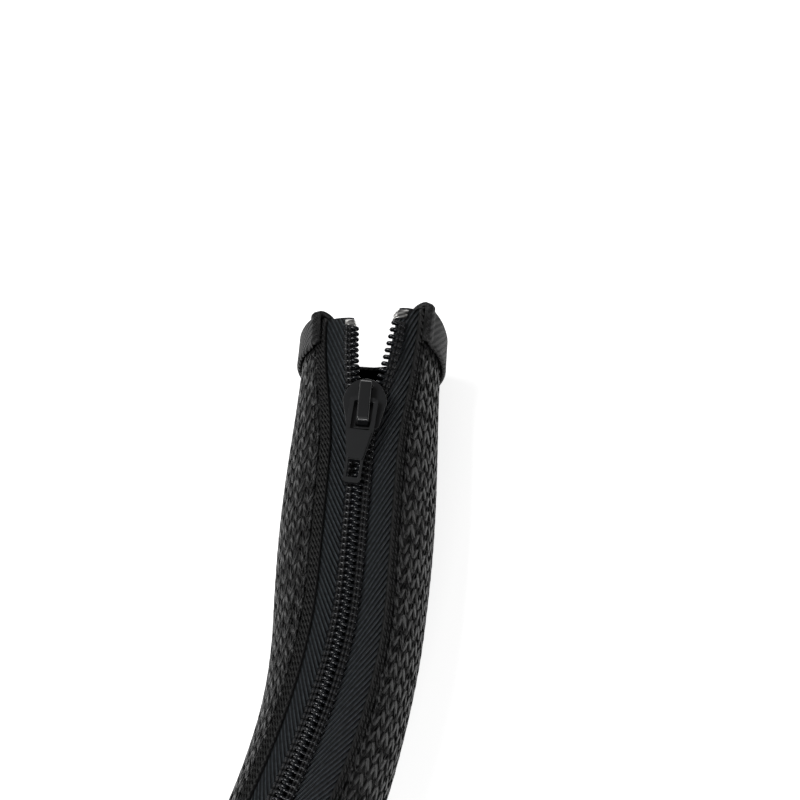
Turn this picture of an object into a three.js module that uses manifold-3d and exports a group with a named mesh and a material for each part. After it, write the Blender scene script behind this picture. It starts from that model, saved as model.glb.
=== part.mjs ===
// A zippered cable sleeve, lying on its back with the zip on top.
// Stations are measured along the sleeve from its open mouth, which faces +Y; +X is the sleeve's right side.
import * as THREE from "three";
import { mergeVertices } from "three/addons/utils/BufferGeometryUtils.js";
import Module from "manifold-3d";

const wasm = await Module();
wasm.setup();

// Sleeve, in millimetres and radians
const SLEEVE_LENGTH = 500;
const SLEEVE_WIDTH = 38.3;
const SLEEVE_HEIGHT = 36;
const WALL = 1.3;
const RIDGE = 0.4;
const FLATTENING = 1.3;
const WALES = 28;
const SLEEVE_STEPS = 56;
const LINING_STEPS = 14;
const LAP_STEPS = 3;
const SELVAGE_RISE = 0.5;
const BELLY = 3.6;
const BELLY_AT = 60;
const BELLY_REACH = 60;

// Way that the sleeve lies: a straight stretch, a bend to the left and one back
const STRAIGHT = 85;
const BEND_RADIUS = 205;
const BEND_ANGLE = THREE.MathUtils.degToRad(16);

// Twist of the zip about the sleeve, to the left and back
const TWIST = THREE.MathUtils.degToRad(16);
const TWIST_FROM = 75;
const TWIST_OVER = 85;
const UNTWIST_FROM = 190;
const UNTWIST_OVER = 110;

// Fabric edges beside the zip, measured from the middle of the chain
const LEFT_EDGE = 8.3;
const RIGHT_EDGE = 9.9;
const RIGHT_EDGE_WIDENS = 2.0;
const WIDENS_FROM = 60;
const WIDENS_OVER = 90;
const MOUTH_LEFT_FLARE = 5.6;
const MOUTH_RIGHT_FLARE = 3.7;
const MOUTH_REACH = 43;
const MOUTH_LEAD = 2.3;
const MOUTH_LEAD_CREST = 3;
const MOUTH_SKEW = 2.6;
const MOUTH_LEAD_REACH = 22;
const LEFT_DIP = 2.5;
const RIGHT_DIP = 2.0;

// End bindings
const BINDING_LENGTH = 9;
const BINDING = 0.9;
const BINDING_STEPS = 32;
const FLOOR_EASE = 10;
const FOLD_ROOM = 0.6;

// Zip tapes and coils
const TAPE = 0.6;
const TAPE_LAP = 5;
const TAPE_INSET = 0.9;
const TAPE_STEPS = 50;
const TAPE_POINTS = 5;
const COIL_WIDTH = 3.3;
const COIL_HEIGHT = 1.8;
const COIL_PITCH = 1.85;
const TOOTH_REACH = 0.45;
const TOOTH_DEPTH = 1.2;
const TEETH_PER_RAIL_STEP = 4;
const LEFT_GAPE = 5.45;
const RIGHT_GAPE = 7.5;

// Stops
const STOP_AT = 1.0;
const STOP_LENGTH = 2.4;
const STOP_WIDTH = 3.2;
const STOP_SHEET = 0.5;
const STOP_FIT = 0.4;
const BOTTOM_STOP_HALF = 3.1;
const BOTTOM_STOP_WEB = 0.4;
const STOP_TO_COIL = 0.4;

// Slider
const SLIDER_AT = 22;
const SLIDER_LENGTH = 15.4;
const SHOULDER_AT = 6.7;
const PLATE = 1.1;
const FLANGE = 0.75;
const TAIL_ROUND = 0.9;
const SHOULDER_GAPE = 1.6;
const CHAIN_MEETS_AT = 13;
const POST_FROM = 1.0;
const POST_WIDEST_AT = 4.0;
const POST_TO = 10.0;
const POST_HALF = 0.8;

// Bridge over the slider and the pull tab under it
const BRIDGE_FROM = 2.2;
const BRIDGE_TO = 14.5;
const BRIDGE_WIDTH = 3.2;
const BRIDGE_SHEET = 0.9;
const BRIDGE_BEVEL = 0.2;
const BRIDGE_LEG_DEPTH = 0.7;
const PULL_AXIS_AT = 7.4;
const PULL_AXIS_RISE = 1.4;
const PULL = 1.2;
const PULL_LENGTH = 24.6;
const PULL_HALF = 3.8;
const PULL_TIP_HALF = 2.3;
const PULL_EYE_HALF = 2.6;
const PULL_EYE_TO = 9.0;
const PULL_STEP_TO = 17.9;
const PULL_STEP_RISE = 0.35;
const PULL_STEP_MARGIN = 0.5;
const PULL_WINDOW_HALF = 1.6;
const PULL_RAIL = 1.5;
const PULL_TILT = THREE.MathUtils.degToRad(3.5);
const PULL_YAW = THREE.MathUtils.degToRad(-4);

// Clearances
const GAP = 0.3;
const SOCKET_FIT = 0.2;

// Sizes that follow from the ones above
const SECTION_HALF_HEIGHT = SLEEVE_HEIGHT / 2 - WALL + FLATTENING;
const SECTION_CENTRE = SECTION_HALF_HEIGHT + WALL - FLATTENING;
const ZIP_DEPTH = SECTION_HALF_HEIGHT - FLATTENING;
const ZIP_PLANE = SECTION_CENTRE + ZIP_DEPTH;
const FLAT_ANGLE = Math.acos(ZIP_DEPTH / SECTION_HALF_HEIGHT);
const TAPE_TOP = -GAP;
const TAPE_UNDER = TAPE_TOP - TAPE;
const COIL_TOP = COIL_HEIGHT;
const COIL_START = STOP_AT + STOP_LENGTH + STOP_TO_COIL;
const COIL_END = SLEEVE_LENGTH - COIL_START;
const BINDING_OUT = WALL + RIDGE + GAP;
const BINDING_IN = TAPE_UNDER - GAP;
const FLOOR_LIFT = RIDGE + GAP + BINDING;
const PLATE_UNDER = COIL_TOP + GAP;
const PLATE_TOP = PLATE_UNDER + PLATE;
const SHOULDER_HALF = SHOULDER_GAPE + COIL_WIDTH + GAP + FLANGE;
const TAIL_HALF = COIL_WIDTH + GAP + FLANGE;
const BRIDGE_UNDER = PLATE_TOP + PULL_AXIS_RISE + PULL / 2 + GAP;
const LEFT = -1;
const RIGHT = 1;

const smooth = (x) => THREE.MathUtils.smoothstep(x, 0, 1);
const mix = THREE.MathUtils.lerp;

// Middle of the sleeve on the ground at a station, and the direction to its right side
function ground(station) {
  const arc = BEND_RADIUS * BEND_ANGLE;
  const before = Math.min(station, STRAIGHT);
  const first = THREE.MathUtils.clamp(station - STRAIGHT, 0, arc) / BEND_RADIUS;
  const second = THREE.MathUtils.clamp(station - STRAIGHT - arc, 0, arc) / BEND_RADIUS;
  const after = Math.max(station - STRAIGHT - 2 * arc, 0);
  const heading = first - second;
  const away = Math.sin(first) + Math.sin(BEND_ANGLE) - Math.sin(BEND_ANGLE - second);
  const aside = 1 - Math.cos(first) + Math.cos(heading) - Math.cos(first);
  return {
    x: -BEND_RADIUS * aside,
    y: -before - BEND_RADIUS * away - after,
    right: new THREE.Vector2(Math.cos(heading), -Math.sin(heading)),
  };
}

// Angle of the zip on the section, seen from the mouth, positive to the right
function zipAngle(station) {
  const turned = smooth((station - TWIST_FROM) / TWIST_OVER);
  return -TWIST * turned * (1 - smooth((station - UNTWIST_FROM) / UNTWIST_OVER));
}

// Half the width of the wall's inner face
function halfWidth(station) {
  const away = Math.min(Math.abs(station - BELLY_AT) / BELLY_REACH, 1);
  const belly = (BELLY / 2) * (0.5 + 0.5 * Math.cos(Math.PI * away));
  return SLEEVE_WIDTH / 2 - WALL - RIDGE + belly;
}

// How far the wall is lifted off the ground by the bindings at both ends
function floorLift(station) {
  const end = Math.min(station, SLEEVE_LENGTH - station);
  return FLOOR_LIFT * (1 - smooth((end - BINDING_LENGTH) / FLOOR_EASE));
}

// How far the mouth is spread at a station, and how far the loose tapes sag in front of the slider, from 1 to 0
const mouthOpening = (station) => 1 - smooth(station / MOUTH_REACH);
const mouthSag = (station) => 1 - smooth(station / SLIDER_AT);

// Distance from the middle of the chain to a fabric edge, along the wall
function edgeDistance(station, side) {
  if (side === LEFT) {
    return LEFT_EDGE + MOUTH_LEFT_FLARE * mouthOpening(station);
  }
  const widening = RIGHT_EDGE_WIDENS * smooth((station - WIDENS_FROM) / WIDENS_OVER);
  return RIGHT_EDGE + MOUTH_RIGHT_FLARE * mouthOpening(station) + widening;
}

// Distance from the middle of the chain to the line where a coil's teeth meet the other coil's
function gape(station, side) {
  const shoulder = SLIDER_AT + SHOULDER_AT;
  const meets = SLIDER_AT + CHAIN_MEETS_AT;
  if (station >= meets) {
    return 0;
  }
  if (station >= shoulder) {
    return (SHOULDER_GAPE * (meets - station)) / (meets - shoulder);
  }
  const atMouth = side === LEFT ? LEFT_GAPE : RIGHT_GAPE;
  return mix(atMouth, SHOULDER_GAPE, station / shoulder);
}

// Point of the section: an angle from the top, and a distance out from the wall's inner face
function sectionPoint(station, angle, out, floorOut = out) {
  const a = halfWidth(station);
  const b = SECTION_HALF_HEIGHT;
  const zip = zipAngle(station);
  const up = new THREE.Vector2(Math.sin(zip), Math.cos(zip));
  const point = new THREE.Vector2(a * Math.sin(angle), b * Math.cos(angle));
  const normal = new THREE.Vector2(Math.sin(angle) / a, Math.cos(angle) / b).normalize();
  const fromZip = Math.abs(Math.atan2(Math.sin(angle - zip), Math.cos(angle - zip)));
  const lean = smooth(2 * (fromZip / FLAT_ANGLE) - 1);
  normal.lerp(up, 1 - lean).normalize();
  const over = Math.max(point.dot(up) - ZIP_DEPTH, 0);
  point.addScaledVector(up, -over).addScaledVector(normal, out);
  const floor = floorLift(station) + WALL - floorOut;
  return new THREE.Vector2(point.x, Math.max(point.y + SECTION_CENTRE, floor));
}

// The right half of the mouth leads the left half a little near the zip
function ledStation(station, angle) {
  const turned = Math.atan2(Math.sin(angle), Math.cos(angle));
  if (turned <= 0) {
    return station;
  }
  const fade = 1 - smooth(station / MOUTH_LEAD_REACH);
  const skew = MOUTH_SKEW * Math.sin(turned);
  if (turned >= Math.PI / 2) {
    return station - fade * skew;
  }
  const crest = 1 + MOUTH_LEAD_CREST * Math.sin(turned) ** 2;
  return station - fade * (skew + MOUTH_LEAD * Math.cos(turned) ** 2 * crest);
}

function toWorld(station, flat, angle) {
  const led = ledStation(station, angle);
  const at = ground(led);
  return new THREE.Vector3(at.x + at.right.x * flat.x, at.y + at.right.y * flat.x, flat.y);
}

// Ring of a loft: its points in space, and the flat outline that closes it at an end
function ring(station, corners) {
  const outline = corners.map(({ at = station, angle, out, floorOut }) =>
    sectionPoint(at, angle, out, floorOut),
  );
  const points = corners.map(({ at = station, angle }, i) => toWorld(at, outline[i], angle));
  return { points, outline };
}

// Corner beside the zip: a distance across from the middle of the chain and a height over the zip's plane
function zipCorner(station, side, across, out) {
  const edge = edgeDistance(station, side);
  const inner = gape(station, side);
  const dip = (side === LEFT ? LEFT_DIP : RIGHT_DIP) * mouthSag(station);
  const share = THREE.MathUtils.clamp((edge - across) / (edge - inner), 0, 1);
  const angle = zipAngle(station) + (side * across) / halfWidth(station);
  return { angle, out: out - dip * share };
}

// Closed surface from points and triangles, turned so that its faces point out
function closedGeometry(points, triangles) {
  const volume = triangles.reduce((sum, [a, b, c]) => {
    const cross = new THREE.Vector3().crossVectors(points[b], points[c]);
    return sum + points[a].dot(cross);
  }, 0);
  const facing = volume < 0 ? triangles.map(([a, b, c]) => [a, c, b]) : triangles;
  const geometry = new THREE.BufferGeometry().setFromPoints(points);
  geometry.setIndex(facing.flat());
  geometry.computeVertexNormals();
  return geometry;
}

// Solid through rings with the same number of points
function loft(rings) {
  const count = rings[0].points.length;
  const points = rings.flatMap((one) => one.points);
  const triangles = [];
  for (let i = 0; i + 1 < rings.length; i += 1) {
    for (let j = 0; j < count; j += 1) {
      const next = (j + 1) % count;
      const a = i * count + j;
      const b = i * count + next;
      triangles.push([a, b, b + count], [a, b + count, a + count]);
    }
  }
  const cap = (one, offset, turned) => {
    for (const [a, b, c] of THREE.ShapeUtils.triangulateShape(one.outline, [])) {
      triangles.push(turned ? [a + offset, c + offset, b + offset] : [a + offset, b + offset, c + offset]);
    }
  };
  const clockwise = THREE.ShapeUtils.isClockWise(rings[0].outline);
  cap(rings[0], 0, !clockwise);
  cap(rings[rings.length - 1], (rings.length - 1) * count, clockwise);
  return closedGeometry(points, triangles);
}

const stations = (from, to, steps) =>
  Array.from({ length: steps + 1 }, (_, i) => from + ((to - from) * i) / steps);

// Angles across the wall, from its right edge under the sleeve to its left edge
function wallAngles(station, steps) {
  const a = halfWidth(station);
  const zip = zipAngle(station);
  const from = zip + edgeDistance(station, RIGHT) / a;
  const to = zip + 2 * Math.PI - edgeDistance(station, LEFT) / a;
  return stations(from, to, steps);
}

// Angles across the wall's inner face, closer together over the tapes' laps
function liningAngles(station) {
  const lap = (TAPE_LAP + 1) / halfWidth(station);
  const [right, left] = wallAngles(station, 1);
  const between = stations(right + lap, left - lap, LINING_STEPS);
  const lapShares = stations(0, 1, LAP_STEPS).slice(0, -1);
  const rightLap = lapShares.map((share) => right + lap * share);
  const leftLap = lapShares.map((share) => left - lap * share).reverse();
  return [...rightLap, ...between, ...leftLap];
}

// Braided wall: steep crossing ridges outside, plain inside, with a thicker selvage along its left edge
function braidedSleeve() {
  const rings = stations(0, SLEEVE_LENGTH, SLEEVE_STEPS).map((station, row) => {
    const outside = wallAngles(station, 2 * WALES).map((angle, column, all) => {
      const crest = (row + column) % 2 === 0 ? RIDGE : 0;
      const selvage = column > all.length - 3;
      return { angle, out: WALL + (selvage ? SELVAGE_RISE : crest), floorOut: WALL };
    });
    const inside = liningAngles(station).map((angle) => ({ angle, out: 0 }));
    return ring(station, [...outside, ...inside.reverse()]);
  });
  return loft(rings);
}

// Woven binding folded over a raw end of the wall and of the tapes' laps
function endBinding(end) {
  const inwards = end === 0 ? 1 : -1;
  const fold = end - inwards * FOLD_ROOM;
  const outerFold = fold - inwards * BINDING;
  const rim = end + inwards * BINDING_LENGTH;
  const outerTop = BINDING_OUT + SELVAGE_RISE - RIDGE;
  const profile = [
    { at: rim, out: outerTop },
    { at: rim, out: outerTop + BINDING },
    { at: outerFold, out: outerTop + BINDING },
    { at: outerFold, out: BINDING_IN - BINDING },
    { at: rim, out: BINDING_IN - BINDING },
    { at: rim, out: BINDING_IN },
    { at: fold, out: BINDING_IN },
    { at: fold, out: outerTop },
  ];
  const flat = profile.map(({ at, out }) => new THREE.Vector2(at, out));
  const rings = stations(0, 1, BINDING_STEPS).map((share) => {
    const points = profile.map(({ at, out }) => {
      const angles = wallAngles(at, 1);
      const angle = mix(angles[0], angles[1], share);
      const lowest = out > WALL ? FLOOR_LIFT + WALL - (out > outerTop ? 0 : BINDING) : out;
      return toWorld(at, sectionPoint(at, angle, out, lowest), angle);
    });
    return { points, outline: flat };
  });
  return loft(rings);
}

// Zip tape: a woven strip under one fabric edge, with the coil on its free edge
function zipTape(side) {
  const rings = stations(0, SLEEVE_LENGTH, TAPE_STEPS).map((station) => {
    const inner = gape(station, side) + TAPE_INSET;
    const outer = edgeDistance(station, side) + TAPE_LAP;
    const across = stations(inner, outer, TAPE_POINTS - 1);
    const top = across.map((distance) => zipCorner(station, side, distance, TAPE_TOP));
    const under = across.map((distance) => zipCorner(station, side, distance, TAPE_UNDER));
    return ring(station, [...top, ...under.reverse()]);
  });
  return loft(rings);
}

// Triangles between two lines of points that run along the zip with different spacing
function zipStrip(first, second) {
  const triangles = [];
  let i = 0;
  let j = 0;
  while (i + 1 < first.length || j + 1 < second.length) {
    const stepFirst =
      j + 1 >= second.length || (i + 1 < first.length && first[i + 1].station <= second[j + 1].station);
    if (stepFirst) {
      triangles.push([first[i].index, first[i + 1].index, second[j].index]);
      i += 1;
    } else {
      triangles.push([first[i].index, second[j + 1].index, second[j].index]);
      j += 1;
    }
  }
  return triangles;
}

// Coil of teeth sewn on a tape's edge; the two sides' teeth are staggered by half a pitch
function zipCoil(side) {
  const half = COIL_PITCH / 2;
  const count = 2 * Math.floor((COIL_END - COIL_START) / COIL_PITCH);
  const points = [];
  const line = (list, across, out) =>
    list.map((station, i) => {
      const distance = gape(station, side) + across(i);
      const corner = zipCorner(station, side, distance, out);
      points.push(toWorld(station, sectionPoint(station, corner.angle, corner.out), corner.angle));
      return { station, index: points.length - 1 };
    });
  const fine = Array.from({ length: count + 1 }, (_, i) => COIL_START + i * half);
  const coarse = fine.filter((_, i) => i % (2 * TEETH_PER_RAIL_STEP) === 0 || i === count);
  const isTip = (i) => i % 2 === (side === LEFT ? 0 : 1);
  const teeth = line(fine, (i) => (isTip(i) ? -TOOTH_REACH : TOOTH_DEPTH - TOOTH_REACH), COIL_TOP);
  const outerTop = line(coarse, () => COIL_WIDTH, COIL_TOP);
  const outerUnder = line(coarse, () => COIL_WIDTH, 0);
  const innerUnder = line(coarse, () => TAPE_INSET, 0);
  const rails = [teeth, outerTop, outerUnder, innerUnder];
  const triangles = rails.flatMap((rail, i) => zipStrip(rail, rails[(i + 1) % rails.length]));
  const first = rails.map((rail) => rail[0].index);
  const last = rails.map((rail) => rail[rail.length - 1].index);
  triangles.push([first[0], first[1], first[2]], [first[0], first[2], first[3]]);
  triangles.push([last[0], last[2], last[1]], [last[0], last[3], last[2]]);
  return closedGeometry(points, triangles);
}

// Top stop: a bright clip crimped round the free edge of a tape, in front of the coil
function topStop(side) {
  const rings = [STOP_AT, STOP_AT + STOP_LENGTH].map((station) => {
    const inner = gape(station, side) + TAPE_INSET - STOP_FIT;
    const corners = [
      [inner - STOP_SHEET, TAPE_UNDER - STOP_FIT - STOP_SHEET],
      [inner - STOP_SHEET, TAPE_TOP + STOP_FIT + STOP_SHEET],
      [inner - STOP_SHEET + STOP_WIDTH, TAPE_TOP + STOP_FIT + STOP_SHEET],
      [inner - STOP_SHEET + STOP_WIDTH, TAPE_TOP + STOP_FIT],
      [inner, TAPE_TOP + STOP_FIT],
      [inner, TAPE_UNDER - STOP_FIT],
      [inner - STOP_SHEET + STOP_WIDTH, TAPE_UNDER - STOP_FIT],
      [inner - STOP_SHEET + STOP_WIDTH, TAPE_UNDER - STOP_FIT - STOP_SHEET],
    ];
    return ring(
      station,
      corners.map(([across, out]) => zipCorner(station, side, across, out)),
    );
  });
  return loft(rings);
}

// Bottom stop: a clip over and under both tapes, joined between their edges
function bottomStop() {
  const far = SLEEVE_LENGTH - STOP_AT;
  const over = [TAPE_TOP + STOP_FIT, TAPE_TOP + STOP_FIT + STOP_SHEET];
  const under = [TAPE_UNDER - STOP_FIT, TAPE_UNDER - STOP_FIT - STOP_SHEET];
  const halfOutline = [
    [BOTTOM_STOP_HALF, over[1]],
    [BOTTOM_STOP_HALF, over[0]],
    [BOTTOM_STOP_WEB, over[0]],
    [BOTTOM_STOP_WEB, under[0]],
    [BOTTOM_STOP_HALF, under[0]],
    [BOTTOM_STOP_HALF, under[1]],
  ];
  const mirrored = halfOutline.map(([across, out]) => [-across, out]).reverse();
  const rings = [far - STOP_LENGTH, far].map((station) =>
    ring(
      station,
      [...halfOutline, ...mirrored].map(([across, out]) =>
        zipCorner(station, Math.sign(across), Math.abs(across), out),
      ),
    ),
  );
  return loft(rings);
}

// Three.js geometry and manifold solid, each made from the other
function toSolid(geometry) {
  const bare = geometry.clone();
  bare.deleteAttribute("normal");
  bare.deleteAttribute("uv");
  const merged = mergeVertices(bare, 1e-4);
  return new wasm.Manifold(
    new wasm.Mesh({
      numProp: 3,
      vertProperties: new Float32Array(merged.attributes.position.array),
      triVerts: new Uint32Array(merged.index.array),
    }),
  );
}

function fromSolid(solid) {
  const mesh = solid.getMesh();
  const geometry = new THREE.BufferGeometry();
  geometry.setAttribute("position", new THREE.BufferAttribute(mesh.vertProperties, 3));
  geometry.setIndex(new THREE.BufferAttribute(mesh.triVerts, 1));
  geometry.computeVertexNormals();
  return geometry;
}

// Flat outline, extruded upwards between two heights
function slab(shape, from, to, segments = 8) {
  const geometry = new THREE.ExtrudeGeometry(shape, {
    depth: to - from,
    bevelEnabled: false,
    curveSegments: segments,
  });
  return geometry.translate(0, 0, from);
}

// Shield outline of the slider's plates: narrow nose towards the mouth, square tail
function shieldShape() {
  const shape = new THREE.Shape();
  shape.moveTo(0, 0);
  shape.quadraticCurveTo(-SHOULDER_HALF * 0.8, -0.3, -SHOULDER_HALF, -SHOULDER_AT);
  shape.lineTo(-TAIL_HALF, -SLIDER_LENGTH + TAIL_ROUND);
  shape.lineTo(-TAIL_HALF + TAIL_ROUND, -SLIDER_LENGTH);
  shape.lineTo(TAIL_HALF - TAIL_ROUND, -SLIDER_LENGTH);
  shape.lineTo(TAIL_HALF, -SLIDER_LENGTH + TAIL_ROUND);
  shape.lineTo(SHOULDER_HALF, -SHOULDER_AT);
  shape.quadraticCurveTo(SHOULDER_HALF * 0.8, -0.3, 0, 0);
  return shape;
}

function polygon(corners) {
  return new THREE.Shape(corners.map(([x, y]) => new THREE.Vector2(x, y)));
}

// Slider body: two plates joined by a post between the coils, with a flange down each side
function sliderBody() {
  const underTop = TAPE_UNDER - GAP;
  const overlap = 0.1;
  let body = toSolid(slab(shieldShape(), PLATE_UNDER, PLATE_TOP));
  body = body.add(toSolid(slab(shieldShape(), underTop - PLATE, underTop)));
  const post = polygon([
    [0, -POST_FROM],
    [-POST_HALF, -POST_WIDEST_AT],
    [0, -POST_TO],
    [POST_HALF, -POST_WIDEST_AT],
  ]);
  body = body.add(toSolid(slab(post, underTop - overlap, PLATE_UNDER + overlap)));
  for (const side of [LEFT, RIGHT]) {
    const flange = polygon([
      [side * SHOULDER_HALF, -SHOULDER_AT],
      [side * TAIL_HALF, -SLIDER_LENGTH + TAIL_ROUND],
      [side * (TAIL_HALF - FLANGE), -SLIDER_LENGTH + TAIL_ROUND],
      [side * (SHOULDER_HALF - FLANGE), -SHOULDER_AT],
    ]);
    body = body.add(toSolid(slab(flange, TAPE_TOP + GAP, PLATE_UNDER + overlap)));
  }
  const socketHalf = BRIDGE_WIDTH / 2 + SOCKET_FIT;
  const socket = (from, to, deep) => {
    const outline = polygon([
      [-socketHalf, -from + SOCKET_FIT],
      [-socketHalf, -to - SOCKET_FIT],
      [socketHalf, -to - SOCKET_FIT],
      [socketHalf, -from + SOCKET_FIT],
    ]);
    return toSolid(slab(outline, deep, PLATE_TOP + 1));
  };
  const blind = PLATE_TOP - BRIDGE_LEG_DEPTH - SOCKET_FIT;
  body = body.subtract(socket(BRIDGE_FROM, BRIDGE_FROM + BRIDGE_SHEET, blind));
  body = body.subtract(socket(BRIDGE_TO - BRIDGE_SHEET, BRIDGE_TO, PLATE_UNDER - overlap));
  return fromSolid(body);
}

// Bridge: a sprung strip over the pull tab's cross bar, its nose bent down into the plate
function sliderBridge() {
  const foot = PLATE_TOP - BRIDGE_LEG_DEPTH;
  const top = BRIDGE_UNDER + BRIDGE_SHEET;
  const bend = 1.1;
  const profile = new THREE.Shape();
  profile.moveTo(-BRIDGE_FROM, foot);
  profile.lineTo(-BRIDGE_FROM, top - 0.5);
  profile.lineTo(-BRIDGE_FROM - 0.5, top);
  profile.lineTo(-BRIDGE_TO + bend, top);
  profile.quadraticCurveTo(-BRIDGE_TO, top, -BRIDGE_TO, top - bend - 0.3);
  profile.lineTo(-BRIDGE_TO, foot);
  profile.lineTo(-BRIDGE_TO + BRIDGE_SHEET, foot);
  profile.lineTo(-BRIDGE_TO + BRIDGE_SHEET, BRIDGE_UNDER - 0.5);
  profile.lineTo(-BRIDGE_TO + BRIDGE_SHEET + 0.5, BRIDGE_UNDER);
  profile.lineTo(-BRIDGE_FROM - BRIDGE_SHEET, BRIDGE_UNDER);
  profile.lineTo(-BRIDGE_FROM - BRIDGE_SHEET, foot);
  const geometry = new THREE.ExtrudeGeometry(profile, {
    depth: BRIDGE_WIDTH - 2 * BRIDGE_BEVEL,
    bevelThickness: BRIDGE_BEVEL,
    bevelSize: BRIDGE_BEVEL,
    bevelOffset: -BRIDGE_BEVEL,
    bevelSegments: 1,
    curveSegments: 4,
  });
  geometry.translate(0, 0, -BRIDGE_WIDTH / 2 + BRIDGE_BEVEL);
  const turn = new THREE.Matrix4().makeBasis(
    new THREE.Vector3(0, 1, 0),
    new THREE.Vector3(0, 0, 1),
    new THREE.Vector3(1, 0, 0),
  );
  return geometry.applyMatrix4(turn);
}

// Rectangle with rounded corners, symmetrical about the pull tab's middle line
function tabShape(topHalf, tipHalf, from, to, round) {
  const shape = new THREE.Shape();
  shape.moveTo(-topHalf + round, -from);
  shape.quadraticCurveTo(-topHalf, -from, -topHalf, -from - round);
  shape.lineTo(-tipHalf, -to + round);
  shape.quadraticCurveTo(-tipHalf, -to, -tipHalf + round, -to);
  shape.lineTo(tipHalf - round, -to);
  shape.quadraticCurveTo(tipHalf, -to, tipHalf, -to + round);
  shape.lineTo(topHalf, -from - round);
  shape.quadraticCurveTo(topHalf, -from, topHalf - round, -from);
  return shape;
}

// Pull tab: an eye round the bridge, a raised step and a window at the tip
function pullTab() {
  const barHalf = PULL / 2;
  const under = -PULL / 2;
  const shape = new THREE.Shape();
  const corner = 1.2;
  const waist = PULL_EYE_TO;
  const tipFrom = PULL_STEP_TO;
  shape.moveTo(-PULL_HALF + corner, barHalf);
  shape.quadraticCurveTo(-PULL_HALF, barHalf, -PULL_HALF, barHalf - corner);
  shape.lineTo(-PULL_HALF, -waist);
  shape.lineTo(-PULL_TIP_HALF, -tipFrom);
  shape.lineTo(-PULL_TIP_HALF, -PULL_LENGTH + 0.6);
  shape.lineTo(-PULL_TIP_HALF + 0.6, -PULL_LENGTH);
  shape.lineTo(PULL_TIP_HALF - 0.6, -PULL_LENGTH);
  shape.lineTo(PULL_TIP_HALF, -PULL_LENGTH + 0.6);
  shape.lineTo(PULL_TIP_HALF, -tipFrom);
  shape.lineTo(PULL_HALF, -waist);
  shape.lineTo(PULL_HALF, barHalf - corner);
  shape.quadraticCurveTo(PULL_HALF, barHalf, PULL_HALF - corner, barHalf);
  shape.holes.push(tabShape(PULL_EYE_HALF, PULL_EYE_HALF, barHalf, waist, 0.5));
  const windowTo = PULL_LENGTH - PULL_RAIL;
  shape.holes.push(tabShape(PULL_WINDOW_HALF, PULL_WINDOW_HALF, tipFrom, windowTo, 0.3));
  const tab = toSolid(slab(shape, under, under + PULL, 3));
  const stepFrom = waist + 0.2;
  const stepTo = tipFrom - 0.2;
  const stepTopHalf = PULL_HALF - PULL_STEP_MARGIN;
  const stepTipHalf = PULL_TIP_HALF - PULL_STEP_MARGIN / 2;
  const step = slab(
    tabShape(stepTopHalf, stepTipHalf, stepFrom, stepTo, 0.3),
    PULL / 2 - 0.1,
    PULL / 2 + PULL_STEP_RISE,
    2,
  );
  return fromSolid(tab.add(toSolid(step)));
}

// Finishes
const finish = (color, roughness, metalness) =>
  new THREE.MeshStandardMaterial({ color, roughness, metalness });
const braid = finish(0x2b2b2c, 0.62, 0);
const binding = finish(0x1c1c1d, 0.8, 0);
const tape = finish(0x1b1d20, 0.75, 0);
const nylon = finish(0x14161a, 0.3, 0);
const bright = finish(0xc9c9c6, 0.25, 1);
const painted = finish(0x222325, 0.45, 0.2);

function piece(name, geometry, material) {
  const mesh = new THREE.Mesh(geometry, material);
  mesh.name = name;
  return mesh;
}

// Assembly
const sleeve = new THREE.Group();
sleeve.add(
  piece("braided_sleeve", braidedSleeve(), braid),
  piece("mouth_binding", endBinding(0), binding),
  piece("far_end_binding", endBinding(SLEEVE_LENGTH), binding),
  piece("zip_tape_left", zipTape(LEFT), tape),
  piece("zip_tape_right", zipTape(RIGHT), tape),
  piece("zip_coil_left", zipCoil(LEFT), nylon),
  piece("zip_coil_right", zipCoil(RIGHT), nylon),
  piece("top_stop_left", topStop(LEFT), bright),
  piece("top_stop_right", topStop(RIGHT), bright),
  piece("bottom_stop", bottomStop(), bright),
);

const slider = new THREE.Group();
slider.position.set(0, -SLIDER_AT, ZIP_PLANE);
slider.add(
  piece("slider_body", sliderBody(), painted),
  piece("slider_bridge", sliderBridge(), painted),
);

const pull = new THREE.Group();
pull.position.set(0, -PULL_AXIS_AT, PLATE_TOP + PULL_AXIS_RISE);
pull.rotation.set(PULL_TILT, 0, PULL_YAW);
pull.add(piece("pull_tab", pullTab(), painted));
slider.add(pull);

const part = new THREE.Group();
part.add(sleeve, slider);

export default part;
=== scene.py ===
"""Dresses the zippered cable sleeve: braid, bindings, tapes, coil teeth, stops, slider and pull tab."""

import math

import bmesh
import bpy
from bpy.props import FloatProperty, FloatVectorProperty, IntProperty, PointerProperty
from mathutils import Matrix, Vector


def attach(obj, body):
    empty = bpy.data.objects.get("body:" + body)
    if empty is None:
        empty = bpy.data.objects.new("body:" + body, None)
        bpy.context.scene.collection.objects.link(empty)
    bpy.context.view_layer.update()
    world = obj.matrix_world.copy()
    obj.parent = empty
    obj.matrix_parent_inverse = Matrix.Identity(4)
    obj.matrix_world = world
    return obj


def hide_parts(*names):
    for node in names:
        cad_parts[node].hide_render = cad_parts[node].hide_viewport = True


bl_info = {
    "name": "Zippered cable sleeve",
    "version": (1, 0, 0),
    "blender": (4, 5, 0),
    "location": "3D View > Sidebar > Cable sleeve",
    "description": "Builds the looks of a braided cable sleeve with a coil zip",
    "category": "Object",
}

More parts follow.
